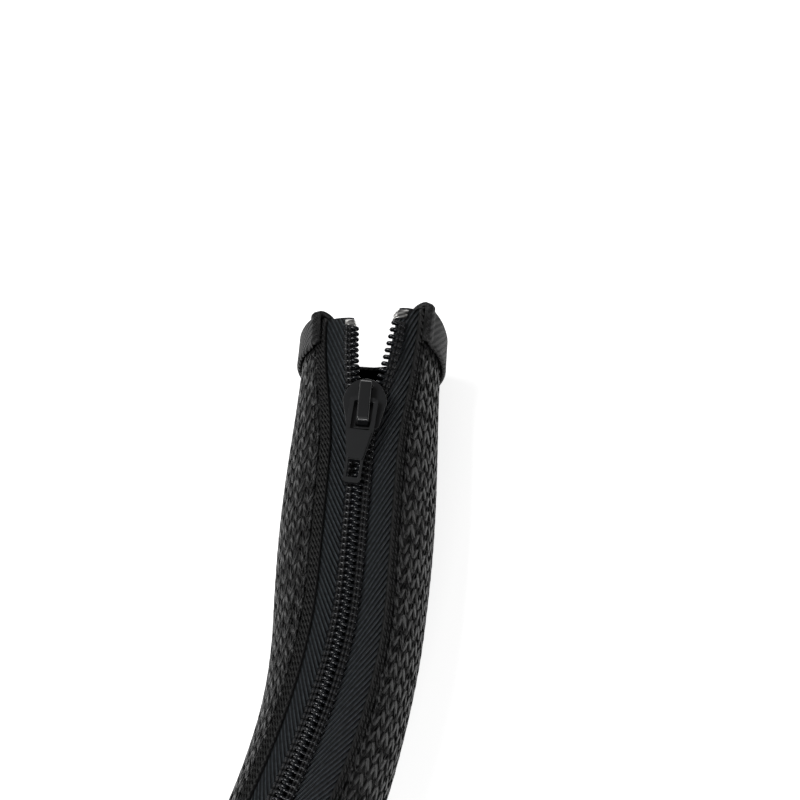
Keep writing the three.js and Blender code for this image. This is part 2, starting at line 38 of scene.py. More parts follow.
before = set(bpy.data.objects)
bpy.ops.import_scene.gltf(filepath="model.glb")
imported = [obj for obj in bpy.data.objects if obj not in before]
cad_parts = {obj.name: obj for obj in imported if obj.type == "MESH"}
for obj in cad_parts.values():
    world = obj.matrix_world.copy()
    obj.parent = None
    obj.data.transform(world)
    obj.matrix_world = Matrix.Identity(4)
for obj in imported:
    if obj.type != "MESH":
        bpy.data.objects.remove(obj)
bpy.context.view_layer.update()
MM = 0.001
LEFT = -1
RIGHT = 1
IMAGE_WIDTH = 800
SENSOR_MM = 36
CLOTH_WIDTH = 105 * MM


def millimetres(name, description, value):
    """A length property, given in millimetres and kept in metres."""
    return FloatProperty(
        name=name, description=description, default=value * MM, unit="LENGTH", precision=5
    )


def degrees(name, description, value):
    """An angle property, given in degrees and kept in radians."""
    return FloatProperty(
        name=name, description=description, default=math.radians(value), unit="ROTATION"
    )


def colour(name, description, value):
    """A linear colour property."""
    return FloatVectorProperty(
        name=name,
        description=description,
        default=value,
        subtype="COLOR",
        size=3,
        min=0,
        max=1,
    )


class SleeveSizes(bpy.types.PropertyGroup):
    """Sizes of the tube and of the way it lies."""

    length: millimetres("Length", "Length along the sleeve", 500)
    width: millimetres("Width", "Outside width over the braid", 38.3)
    height: millimetres("Height", "Outside height of the wall at the zip", 36)
    wall: millimetres("Wall", "Thickness of the braided wall", 1.3)
    ridge: millimetres("Ridge", "Height of the braid's ridges", 0.4)
    flattening: millimetres("Flattening", "How far the section is flattened above and below", 1.3)
    belly: millimetres("Belly", "Extra width of the fuller stretch", 3.6)
    belly_at: millimetres("Belly at", "Station of the fullest place", 60)
    belly_reach: millimetres("Belly reach", "Half the length of the fuller stretch", 60)
    straight: millimetres("Straight", "Length before the first bend", 85)
    bend_radius: millimetres("Bend radius", "Radius of both bends", 205)
    bend_angle: degrees("Bend angle", "Angle of each bend", 16)
    twist: degrees("Twist", "Turn of the zip to the left", 16)
    twist_from: millimetres("Twist from", "Station where the twist starts", 75)
    twist_over: millimetres("Twist over", "Length over which it grows", 85)
    untwist_from: millimetres("Untwist from", "Station where the twist eases", 190)
    untwist_over: millimetres("Untwist over", "Length over which it eases", 110)
    left_edge: millimetres("Left edge", "From the chain to the left fabric edge", 8.3)
    right_edge: millimetres("Right edge", "From the chain to the right fabric edge", 9.9)
    widens: millimetres("Widens", "Growth of the right tape's visible width", 2.0)
    widens_from: millimetres("Widens from", "Station where it starts to grow", 60)
    widens_over: millimetres("Widens over", "Length over which it grows", 90)
    left_flare: millimetres("Left flare", "Spread of the left edge at the mouth", 5.6)
    right_flare: millimetres("Right flare", "Spread of the right edge at the mouth", 3.7)
    mouth_reach: millimetres("Mouth reach", "Length over which the mouth spreads", 43)
    lead: millimetres("Lead", "How far the right edge leads at the mouth", 2.3)
    lead_crest: FloatProperty(name="Crest", description="Growth of the lead at the hem", default=3)
    skew: millimetres("Skew", "How far the right side leads at the mouth", 2.6)
    lead_reach: millimetres("Lead reach", "Length over which that fades", 22)
    binding_length: millimetres("Binding length", "Visible width of the end bindings", 9)
    binding: millimetres("Binding", "Thickness of the binding", 0.9)
    fold_room: millimetres("Fold room", "Room inside the binding's fold", 0.6)
    floor_ease: millimetres("Floor ease", "Length over which the wall comes down", 10)
    gap: millimetres("Gap", "Gap between neighbouring pieces", 0.3)


class BraidSizes(bpy.types.PropertyGroup):
    """Sizes of the braid's visible floats."""

    columns: IntProperty(
        name="Columns", description="Columns of floats around the wall", default=54
    )
    pitch: millimetres("Pitch", "Distance between floats along a column", 4.3)
    float_length: millimetres("Float length", "Length of one float", 5.3)
    float_width: millimetres("Float width", "Width of one flat bundle", 1.38)
    float_rise: millimetres("Float rise", "Crown of one float", 0.45)
    lean: degrees("Lean", "Angle of a float from the sleeve's length", 19)
    jitter: FloatProperty(name="Jitter", description="Uneven size of the floats", default=0.04)
    cord: millimetres("Cord", "Width of a cord of the selvage", 0.85)
    left_cords: IntProperty(name="Left cords", description="Cords of the left selvage", default=3)
    right_cords: IntProperty(name="Right cords", description="Cords of the right one", default=2)


class ZipSizes(bpy.types.PropertyGroup):
    """Sizes of the tapes, the coils and the stops."""

    tape: millimetres("Tape", "Thickness of the tape", 0.6)
    lap: millimetres("Lap", "Tape hidden under the fabric", 5)
    inset: millimetres("Inset", "From the teeth's meeting line to the tape's edge", 0.9)
    pitch: millimetres("Pitch", "Distance between teeth", 1.85)
    filament: millimetres("Filament", "Radius of the coil's filament", 0.37)
    head: millimetres("Head", "Half width of a tooth's flattened head", 0.46)
    flat: millimetres("Flat", "Half thickness of the flattened head", 0.36)
    left_gape: millimetres("Left gape", "From the middle to the left teeth at the mouth", 5.45)
    right_gape: millimetres("Right gape", "From the middle to the right teeth at the mouth", 7.5)
    shoulder_gape: millimetres("Shoulder gape", "The same at the slider's shoulders", 1.6)
    shoulder_at: millimetres("Shoulder at", "Station of the slider's shoulders", 28.7)
    meets_at: millimetres("Meets at", "Station where the teeth meet", 35)
    left_dip: millimetres("Left dip", "Sag of the left teeth at the mouth", 2.5)
    right_dip: millimetres("Right dip", "Sag of the right teeth at the mouth", 2.0)
    dip_reach: millimetres("Dip reach", "Length over which the tapes sag", 22)
    stop_at: millimetres("Stop at", "From the tape's end to a stop", 1.0)
    stop_length: millimetres("Stop length", "Length of a stop", 2.4)
    stop_width: millimetres("Stop width", "Width of a stop", 3.2)
    stop_to_coil: millimetres("Stop to coil", "Gap from a stop to the first tooth", 0.4)


class SceneColours(bpy.types.PropertyGroup):
    """Colours of the finishes and the camera's place."""

    braid: colour("Braid", "Filament of the braid", (0.017, 0.017, 0.017))
    under: colour("Under", "Shaded filament between the floats", (0.004, 0.004, 0.004))
    binding: colour("Binding", "Woven binding", (0.005, 0.005, 0.0052))
    tape: colour("Tape", "Twill tape", (0.0125, 0.0146, 0.0165))
    nylon: colour("Nylon", "Coil filament", (0.007, 0.008, 0.010))
    thread: colour("Thread", "Sewing thread", (0.008, 0.008, 0.009))
    paint: colour("Paint", "Slider's enamel", (0.0065, 0.007, 0.008))
    metal: colour("Metal", "Bright stops", (0.72, 0.71, 0.69))
    elevation: degrees("Elevation", "Camera's height over the ground", 60.5)
    azimuth: degrees("Azimuth", "Camera's turn about the sleeve", 4.1)
    distance: millimetres("Distance", "From the camera to the mouth", 816)
    scale: millimetres("Scale", "Size of one pixel at the mouth", 0.272)


class SleeveSettings(bpy.types.PropertyGroup):
    """All settings of the sleeve."""

    sleeve: PointerProperty(type=SleeveSizes)
    braid: PointerProperty(type=BraidSizes)
    zip: PointerProperty(type=ZipSizes)
    look: PointerProperty(type=SceneColours)


def smooth(x):
    """Smooth step from 0 to 1."""
    x = min(max(x, 0.0), 1.0)
    return x * x * (3 - 2 * x)


def mix(a, b, share):
    """Straight mix of two values."""
    return a + (b - a) * share


def spaced(start, end, steps):
    """Evenly spaced values, both ends included."""
    return [mix(start, end, i / steps) for i in range(steps + 1)]


class Tube:
    """The sleeve's form, as the frame has it: stations along it, angles around it and a distance out."""

    def __init__(self, settings):
        self.s = settings.sleeve
        self.z = settings.zip
        s = self.s
        self.half_height = s.height / 2 - s.wall + s.flattening
        self.centre = self.half_height + s.wall - s.flattening
        self.zip_depth = self.half_height - s.flattening
        self.flat_angle = math.acos(self.zip_depth / self.half_height)
        self.floor_lift_full = s.ridge + s.gap + s.binding

    def ground(self, station):
        """Middle of the sleeve on the ground, and the direction to its right side."""
        s = self.s
        arc = s.bend_radius * s.bend_angle
        first = min(max(station - s.straight, 0), arc) / s.bend_radius
        second = min(max(station - s.straight - arc, 0), arc) / s.bend_radius
        after = max(station - s.straight - 2 * arc, 0)
        heading = first - second
        away = math.sin(first) + math.sin(s.bend_angle) - math.sin(s.bend_angle - second)
        aside = 1 - math.cos(first) + math.cos(heading) - math.cos(first)
        x = -s.bend_radius * aside
        y = -min(station, s.straight) - s.bend_radius * away - after
        return x, y, math.cos(heading), -math.sin(heading)

    def zip_angle(self, station):
        """Angle of the zip on the section."""
        s = self.s
        turned = smooth((station - s.twist_from) / s.twist_over)
        return -s.twist * turned * (1 - smooth((station - s.untwist_from) / s.untwist_over))

    def half_width(self, station):
        """Half the width of the wall's inner face."""
        s = self.s
        away = min(abs(station - s.belly_at) / s.belly_reach, 1)
        return s.width / 2 - s.wall - s.ridge + s.belly / 2 * (0.5 + 0.5 * math.cos(math.pi * away))

    def floor_lift(self, station):
        """How far the bindings lift the wall off the ground."""
        s = self.s
        end = min(station, s.length - station)
        return self.floor_lift_full * (1 - smooth((end - s.binding_length) / s.floor_ease))

    def edge(self, station, side):
        """Distance from the chain to a fabric edge."""
        s = self.s
        opening = 1 - smooth(station / s.mouth_reach)
        if side == LEFT:
            return s.left_edge + s.left_flare * opening
        widening = s.widens * smooth((station - s.widens_from) / s.widens_over)
        return s.right_edge + s.right_flare * opening + widening

    def gape(self, station, side):
        """Distance from the middle to the line where the teeth meet."""
        z = self.z
        if station >= z.meets_at:
            return 0.0
        if station >= z.shoulder_at:
            return z.shoulder_gape * (z.meets_at - station) / (z.meets_at - z.shoulder_at)
        at_mouth = z.left_gape if side == LEFT else z.right_gape
        return mix(at_mouth, z.shoulder_gape, station / z.shoulder_at)

    def point(self, station, angle, out, floor_out=None):
        """Point in space at a station, an angle from the top and a distance out from the lining."""
        s = self.s
        a = self.half_width(station)
        b = self.half_height
        turn = self.zip_angle(station)
        up_x = math.sin(turn)
        up_z = math.cos(turn)
        x = a * math.sin(angle)
        z = b * math.cos(angle)
        normal = Vector((math.sin(angle) / a, math.cos(angle) / b)).normalized()
        from_zip = abs(math.atan2(math.sin(angle - turn), math.cos(angle - turn)))
        lean = smooth(2 * from_zip / self.flat_angle - 1)
        normal = (normal * lean + Vector((up_x, up_z)) * (1 - lean)).normalized()
        over = max(x * up_x + z * up_z - self.zip_depth, 0)
        x += normal.x * out - up_x * over
        z += normal.y * out - up_z * over
        floor_out = out if floor_out is None else floor_out
        z = max(z + self.centre, self.floor_lift(station) + s.wall - floor_out)
        turned = math.atan2(math.sin(angle), math.cos(angle))
        led = station - self.lead(turned) * (1 - smooth(station / s.lead_reach))
        gx, gy, rx, ry = self.ground(led)
        return Vector((gx + rx * x, gy + ry * x, z))

    def lead(self, turned):
        """How far the mouth's rim stands out at an angle to the right of the top."""
        s = self.s
        if turned <= 0:
            return 0.0
        skew = s.skew * math.sin(turned)
        if turned >= math.pi / 2:
            return skew
        crest = 1 + s.lead_crest * math.sin(turned) ** 2
        return skew + s.lead * math.cos(turned) ** 2 * crest

    def zip_point(self, station, side, across, out):
        """Point beside the zip: a distance across from the chain and a height over its plane."""
        z = self.z
        edge = self.edge(station, side)
        inner = self.gape(station, side)
        dip = (z.left_dip if side == LEFT else z.right_dip) * (1 - smooth(station / z.dip_reach))
        share = min(max((edge - across) / (edge - inner), 0), 1)
        angle = self.zip_angle(station) + side * across / self.half_width(station)
        return self.point(station, angle, out - dip * share)

    def wall_angle(self, station, share):
        """Angle across the wall, from its right edge under the sleeve to its left edge."""
        a = self.half_width(station)
        turn = self.zip_angle(station)
        start = turn + self.edge(station, RIGHT) / a
        end = turn + 2 * math.pi - self.edge(station, LEFT) / a
        return mix(start, end, share)


def mesh_object(name, points, faces, uv=None, smooth_faces=True):
    """A mesh object from points and faces, with its normals outside and a UV for each point."""
    mesh = bpy.data.meshes.new(name)
    mesh.from_pydata(points, [], faces)
    if uv:
        layer = mesh.uv_layers.new(name="UVMap")
        for loop in mesh.loops:
            layer.data[loop.index].uv = uv[loop.vertex_index]
    mesh.validate()
    bm = bmesh.new()
    bm.from_mesh(mesh)
    bmesh.ops.recalc_face_normals(bm, faces=bm.faces)
    if bm.calc_volume(signed=True) < 0:
        bmesh.ops.reverse_faces(bm, faces=bm.faces)
    bm.to_mesh(mesh)
    bm.free()
    mesh.polygons.foreach_set("use_smooth", [smooth_faces] * len(mesh.polygons))
    made = bpy.data.objects.new(name, mesh)
    bpy.context.scene.collection.objects.link(made)
    return made


def lofted(name, rings, uvs=None):
    """Closed solid through rings of points, its two ends closed by a face each."""
    count = len(rings[0])
    points = [p for ring in rings for p in ring]
    faces = []
    for i in range(len(rings) - 1):
        for j in range(count):
            after = (j + 1) % count
            a = i * count + j
            b = i * count + after
            faces.append((a, b, b + count, a + count))
    faces.append(tuple(reversed(range(count))))
    last = (len(rings) - 1) * count
    faces.append(tuple(range(last, last + count)))
    uv = [value for ring in uvs for value in ring] if uvs else None
    return mesh_object(name, points, faces, uv)


def joined(name, parts):
    """One object from several, in the first one's place."""
    with bpy.context.temp_override(active_object=parts[0], selected_editable_objects=parts):
        bpy.ops.object.join()
    parts[0].name = name
    parts[0].data.name = name
    return parts[0]


def dressed(obj, material, slot, body, *nodes):
    """Gives a piece its material and its body, and hides the nodes it stands for. The slot is not used.
    """
    obj.data.materials.clear()
    obj.data.materials.append(material)
    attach(obj, body)
    if nodes:
        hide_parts(*nodes)
    return obj


class Nodes:
    """Small helper that adds linked nodes to a tree."""

    def __init__(self, tree):
        self.tree = tree

    def add(self, kind, inputs=None, **settings):
        """Adds a node; inputs maps a socket's name or number to a value or to another node's socket."""
        node = self.tree.nodes.new(kind)
        for key, value in settings.items():
            setattr(node, key, value)
        for key, value in (inputs or {}).items():
            socket = node.inputs[key]
            if isinstance(value, bpy.types.NodeSocket):
                self.tree.links.new(value, socket)
            else:
                socket.default_value = value
        return node


def new_material(name):
    """An empty node material with its principled shader and helper."""
    material = bpy.data.materials.new(name)
    material.use_nodes = True
    nodes = Nodes(material.node_tree)
    shader = material.node_tree.nodes["Principled BSDF"]
    return material, nodes, shader


def shaded(nodes, shader, low, high, factor):
    """Links a colour between two tones to the shader."""
    ramp = nodes.add("ShaderNodeMix", data_type="RGBA")
    ramp.inputs[6].default_value = (*low, 1)
    ramp.inputs[7].default_value = (*high, 1)
    nodes.tree.links.new(factor, ramp.inputs[0])
    nodes.tree.links.new(ramp.outputs[2], shader.inputs["Base Color"])


def scaled(value, factor):
    """A colour made lighter or darker."""
    return tuple(min(c * factor, 1) for c in value)


def bump(nodes, shader, height, distance, strength=1.0):
    """Links a height to the shader's normal."""
    node = nodes.add(
        "ShaderNodeBump", {"Height": height, "Distance": distance, "Strength": strength}
    )
    nodes.tree.links.new(node.outputs[0], shader.inputs["Normal"])


def wave(nodes, vector, scale, direction="X", kind="BANDS", distortion=0.0):
    """A wave of lines; scale is lines for each unit of the vector."""
    node = nodes.add(
        "ShaderNodeTexWave",
        {"Vector": vector, "Scale": scale / 20 * math.tau, "Distortion": distortion},
        wave_type=kind,
        bands_direction=direction,
        wave_profile="SIN",
    )
    return node.outputs["Fac"]


def braid_finish(look):
    """Flat bundles of filament: fine lines along each float and an uneven tone."""
    material, nodes, shader = new_material("braid filament")
    uv = nodes.add("ShaderNodeUVMap", uv_map="UVMap").outputs[0]
    tone = nodes.add("ShaderNodeAttribute", attribute_name="tone").outputs["Fac"]
    lines_across = 4
    line_share = 0.35
    lines = wave(nodes, uv, lines_across)
    grain = nodes.add("ShaderNodeMath", {0: lines, 1: line_share}, operation="MULTIPLY").outputs[0]
    mixed = nodes.add("ShaderNodeMath", {0: grain, 1: tone}, operation="ADD").outputs[0]
    shaded(nodes, shader, scaled(look.braid, 0.4), scaled(look.braid, 1.7), mixed)
    shader.inputs["Roughness"].default_value = 0.36
    shader.inputs["Specular IOR Level"].default_value = 0.42
    bump(nodes, shader, lines, 0.1 * MM, 0.8)
    return material


def under_finish(look):
    """Shaded strands under the floats, and the braid's plain inside."""
    material, nodes, shader = new_material("braid lining")
    uv = nodes.add("ShaderNodeUVMap", uv_map="UVMap").outputs[0]
    lean = 0.35
    strands = 560
    first = nodes.add("ShaderNodeMapping", {"Vector": uv, "Rotation": (0, 0, lean)}).outputs[0]
    second = nodes.add("ShaderNodeMapping", {"Vector": uv, "Rotation": (0, 0, -lean)}).outputs[0]
    one = wave(nodes, first, strands)
    two = wave(nodes, second, strands)
    both = nodes.add("ShaderNodeMath", {0: one, 1: two}, operation="MAXIMUM").outputs[0]
    shaded(nodes, shader, scaled(look.under, 0.5), scaled(look.under, 2.2), both)
    shader.inputs["Roughness"].default_value = 0.7
    bump(nodes, shader, both, 0.3 * MM)
    return material


def twill_finish(name, tone, ribs, turn, roughness):
    """Woven tape with slanting ribs, crossed by fine yarns; its colour has painted shade in the rib
    grooves and a painted highlight on the rib crests, varied by an uneven tone.
    """
    material, nodes, shader = new_material(name)
    uv = nodes.add("ShaderNodeUVMap", uv_map="UVMap").outputs[0]
    slanted = nodes.add("ShaderNodeMapping", {"Vector": uv, "Rotation": (0, 0, turn)}).outputs[0]
    yarns_to_a_rib = 2.6
    yarn_share = 0.25
    noise_share = 1.1
    # Painted shade: the colour of the rib grooves. Painted highlight: the colour of the rib crests.
    painted_groove_shade = 0.12
    painted_crest_highlight = 6.0
    rib = wave(nodes, slanted, ribs, "Y")
    yarn = wave(nodes, slanted, ribs * yarns_to_a_rib, "X")
    noise = nodes.add("ShaderNodeTexNoise", {"Vector": uv, "Scale": 900, "Detail": 3}).outputs[0]
    fine = nodes.add("ShaderNodeMath", {0: yarn, 1: yarn_share}, operation="MULTIPLY").outputs[0]
    both = nodes.add("ShaderNodeMath", {0: rib, 1: fine}, operation="ADD").outputs[0]
    uneven = nodes.add("ShaderNodeMath", {0: noise, 1: noise_share}, operation="MULTIPLY").outputs[0]
    factor = nodes.add("ShaderNodeMath", {0: both, 1: uneven}, operation="MULTIPLY").outputs[0]
    # Ribs and yarns set the colour from the painted groove shade to the painted crest highlight.
    shaded(nodes, shader, scaled(tone, painted_groove_shade), scaled(tone, painted_crest_highlight), factor)
    shader.inputs["Roughness"].default_value = roughness
    shader.inputs["Specular IOR Level"].default_value = 0.45
    bump(nodes, shader, both, 0.6 * MM)
    return material


def plain_finish(name, tone, roughness, metallic=0.0, grain=0.00003, scale=2500, coat=0.0):
    """Smooth finish with a fine uneven surface."""
    material, nodes, shader = new_material(name)
    where = nodes.add("ShaderNodeTexCoord").outputs["Object"]
    noise = nodes.add("ShaderNodeTexNoise", {"Vector": where, "Scale": scale, "Detail": 4}).outputs[0]
    broad = nodes.add("ShaderNodeTexNoise", {"Vector": where, "Scale": 300, "Detail": 2}).outputs[0]
    shaded(nodes, shader, scaled(tone, 0.8), scaled(tone, 1.25), broad)
    shader.inputs["Roughness"].default_value = roughness
    shader.inputs["Metallic"].default_value = metallic
    shader.inputs["Coat Weight"].default_value = coat
    shader.inputs["Coat Roughness"].default_value = 0.18
    bump(nodes, shader, noise, grain)
    return material


def crimped_finish(look):
    """Bright metal with the slanting grooves of the crimping tool; its colour is darkened in the grooves
    as painted shade and lightened on the ridges as painted highlight.
    """
    material, nodes, shader = new_material("crimped metal")
    grooves = 820
    slant = (0, 0, -0.5)
    where = nodes.add("ShaderNodeTexCoord").outputs["Object"]
    turned = nodes.add("ShaderNodeMapping", {"Vector": where, "Rotation": slant}).outputs[0]
    groove = wave(nodes, turned, grooves, "Y")
    # Painted shade in the grooves and painted highlight on the ridges of the metal's colour.
    shaded(nodes, shader, scaled(look.metal, 0.35), scaled(look.metal, 1.3), groove)
    shader.inputs["Roughness"].default_value = 0.42
    shader.inputs["Metallic"].default_value = 1.0
    bump(nodes, shader, groove, 0.3 * MM)
    return material


def copies_tree():
    """Geometry Nodes group that sets a copy of an object on each point, turned by the point's axes."""
    tree = bpy.data.node_groups.new("Copies along a surface", "GeometryNodeTree")
    face = tree.interface
    face.new_socket("Geometry", in_out="INPUT", socket_type="NodeSocketGeometry")
    face.new_socket("Copy", in_out="INPUT", socket_type="NodeSocketObject")
    jitter = face.new_socket("Jitter", in_out="INPUT", socket_type="NodeSocketFloat")
    jitter.default_value = 0.0
    seed = face.new_socket("Seed", in_out="INPUT", socket_type="NodeSocketInt")
    seed.default_value = 7
    face.new_socket("Material", in_out="INPUT", socket_type="NodeSocketMaterial")
    face.new_socket("Geometry", in_out="OUTPUT", socket_type="NodeSocketGeometry")
    nodes = Nodes(tree)
    given = nodes.add("NodeGroupInput")
    shown = nodes.add("GeometryNodeObjectInfo", {"Object": given.outputs["Copy"]})
    out = nodes.add("GeometryNodeInputNamedAttribute", {"Name": "out"}, data_type="FLOAT_VECTOR")
    along = nodes.add("GeometryNodeInputNamedAttribute", {"Name": "along"}, data_type="FLOAT_VECTOR")
    size = nodes.add("GeometryNodeInputNamedAttribute", {"Name": "size"}, data_type="FLOAT_VECTOR")
    turned = nodes.add(
        "FunctionNodeAxesToRotation",
        {"Primary Axis": out.outputs[0], "Secondary Axis": along.outputs[0]},
        primary_axis="Z",
        secondary_axis="Y",
    )
    less = nodes.add("ShaderNodeMath", {0: 1.0, 1: given.outputs["Jitter"]}, operation="SUBTRACT")
    more = nodes.add("ShaderNodeMath", {0: 1.0, 1: given.outputs["Jitter"]}, operation="ADD")
    uneven = nodes.add("FunctionNodeRandomValue", data_type="FLOAT")
    tree.links.new(less.outputs[0], uneven.inputs[2])
    tree.links.new(more.outputs[0], uneven.inputs[3])
    tree.links.new(given.outputs["Seed"], uneven.inputs[8])
    sized = nodes.add("ShaderNodeVectorMath", {0: size.outputs[0]}, operation="SCALE")
    tree.links.new(uneven.outputs[1], sized.inputs["Scale"])
    placed = nodes.add(
        "GeometryNodeInstanceOnPoints",
        {
            "Points": given.outputs["Geometry"],
            "Instance": shown.outputs["Geometry"],
            "Rotation": turned.outputs[0],
            "Scale": sized.outputs[0],
        },
    )
    tone = nodes.add("FunctionNodeRandomValue", data_type="FLOAT")
    darkest = 0.0
    lightest = 0.75
    tone.inputs[2].default_value = darkest
    tone.inputs[3].default_value = lightest
    tree.links.new(given.outputs["Seed"], tone.inputs[8])
    stored = nodes.add(
        "GeometryNodeStoreNamedAttribute",
        {"Geometry": placed.outputs[0], "Name": "tone"},
        data_type="FLOAT",
        domain="INSTANCE",
    )
    tree.links.new(tone.outputs[1], stored.inputs["Value"])
    real = nodes.add("GeometryNodeRealizeInstances", {"Geometry": stored.outputs[0]})
    finished = nodes.add(
        "GeometryNodeSetMaterial",
        {"Geometry": real.outputs[0], "Material": given.outputs["Material"]},
    )
    given_out = nodes.add("NodeGroupOutput")
    tree.links.new(finished.outputs[0], given_out.inputs[0])
    return tree


def copies(name, places, pattern, material, jitter=0.0, seed=7):
    """Sets a pattern on places, each (point, out, along, size), and returns one plain mesh object."""
    mesh = bpy.data.meshes.new(name + " places")
    mesh.from_pydata([place[0] for place in places], [], [])
    for column, label in ((1, "out"), (2, "along"), (3, "size")):
        layer = mesh.attributes.new(label, "FLOAT_VECTOR", "POINT")
        layer.data.foreach_set("vector", [c for place in places for c in place[column]])
    carrier = bpy.data.objects.new(name + " places", mesh)
    bpy.context.scene.collection.objects.link(carrier)
    tree = bpy.data.node_groups.get("Copies along a surface") or copies_tree()
    modifier = carrier.modifiers.new("Copies", "NODES")
    modifier.node_group = tree
    sockets = {
        item.name: item.identifier
        for item in tree.interface.items_tree
        if item.item_type == "SOCKET" and item.in_out == "INPUT"
    }
    modifier[sockets["Copy"]] = pattern
    modifier[sockets["Jitter"]] = jitter
    modifier[sockets["Seed"]] = seed
    modifier[sockets["Material"]] = material
    graph = bpy.context.evaluated_depsgraph_get()
    graph.update()
    result = bpy.data.meshes.new_from_object(
        carrier.evaluated_get(graph), preserve_all_data_layers=True, depsgraph=graph
    )
    carrier.modifiers.remove(modifier)
    bpy.data.objects.remove(carrier)
    bpy.data.objects.remove(pattern)
    made = bpy.data.objects.new(name, result)
    made.data.name = name
    bpy.context.scene.collection.objects.link(made)
    return made


def pillow(name, width, length, rise, tuck, end_share=0.7):
    """A closed crowned lozenge with a flat back: one float of the braid or one stitch."""
    across = (-1, 0, 1)
    rows = (-1, -0.45, 0.45, 1)
    fall = 0.45
    end_fall = 0.25
    points = []
    uv = []
    for v in rows:
        wide = mix(1, end_share, v * v)
        for u in across:
            height = (rise + tuck) * (1 - u * u) * (1 - fall * v * v) - tuck
            points.append(Vector((u * width / 2 * wide, v * length / 2, height)))
            uv.append((u / 2 + 0.5, v / 2 + 0.5))
    faces = []
    for i in range(len(rows) - 1):
        for j in range(2):
            a = i * 3 + j
            faces.append((a, a + 1, a + 4, a + 3))
    for end in (1, 10):
        points[end].z -= (rise + tuck) * end_fall
    faces.append((0, 3, 6, 9, 10, 11, 8, 5, 2, 1))
    return mesh_object(name, points, faces, uv)


def frame_at(tube, station, angle, out, floor_out, step):
    """Point, outward direction and direction along the sleeve on the surface."""
    here = tube.point(station, angle, out, floor_out)
    there = tube.point(station + step, angle, out, floor_out)
    beside = tube.point(station, angle + 0.02, out, floor_out)
    along = (there - here).normalized()
    around = (beside - here).normalized()
    outward = around.cross(along).normalized()
    return here, outward, along


class SLEEVE_OT_braid(bpy.types.Operator):
    """Builds the braided wall and its floats"""

    bl_idname = "sleeve.braid"
    bl_label = "Braided wall"

    def execute(self, context):
        settings = context.scene.cable_sleeve
        tube = Tube(settings)
        s = settings.sleeve
        b = settings.braid
        self.wall(tube, s, settings.look)
        self.floats(tube, s, b, settings.look)
        return {"FINISHED"}

    def wall(self, tube, s, look):
        """Closed wall under the floats."""
        outer = s.wall - 0.15 * MM
        floor_out = s.wall - 0.4 * MM
        rings = []
        uvs = []
        for station in spaced(0, s.length, 250):
            ring = []
            uv = []
            for share in spaced(0, 1, 72):
                angle = tube.wall_angle(station, share)
                ring.append(tube.point(station, angle, outer, floor_out))
                uv.append((share * CLOTH_WIDTH, station))
            for share in spaced(1, 0, 40):
                angle = tube.wall_angle(station, share)
                ring.append(tube.point(station, angle, 0.0, 0.0))
                uv.append((share * CLOTH_WIDTH, station))
            rings.append(ring)
            uvs.append(uv)
        wall = lofted("braid_wall", rings, uvs)
        dressed(wall, under_finish(look), "braid", "sleeve", "braided_sleeve")

    def floats(self, tube, s, b, look):
        """Crossing floats of flat filament bundles, leaning one way and the other in turn."""
        places = []
        around = math.tau * s.width / 2 - s.left_edge - s.right_edge
        first_share = b.cord * b.right_cords / around
        last_share = 1 - b.cord * b.left_cords / around
        first = s.binding_length - 3 * MM
        rows = int((s.length - 2 * first) / b.pitch)
        base = s.wall - 0.1 * MM
        lowest = s.wall - b.float_rise - 0.35 * MM
        for column in range(b.columns):
            side = 1 if column % 2 else -1
            share = mix(first_share, last_share, (column + 0.5) / b.columns)
            for row in range(rows):
                station = first + (row + 0.5) * b.pitch
                angle = tube.wall_angle(station, share)
                here, outward, along = frame_at(tube, station, angle, base, lowest, 1 * MM)
                turned = Matrix.Rotation(side * b.lean, 3, outward) @ along
                places.append((here, outward, turned, (1, 1, 1)))
        pattern = pillow("float", b.float_width, b.float_length, b.float_rise, 0.25 * MM)
        filament = braid_finish(look)
        made = copies("braid_floats", places, pattern, filament, b.jitter)
        dressed(made, filament, "braid", "sleeve")


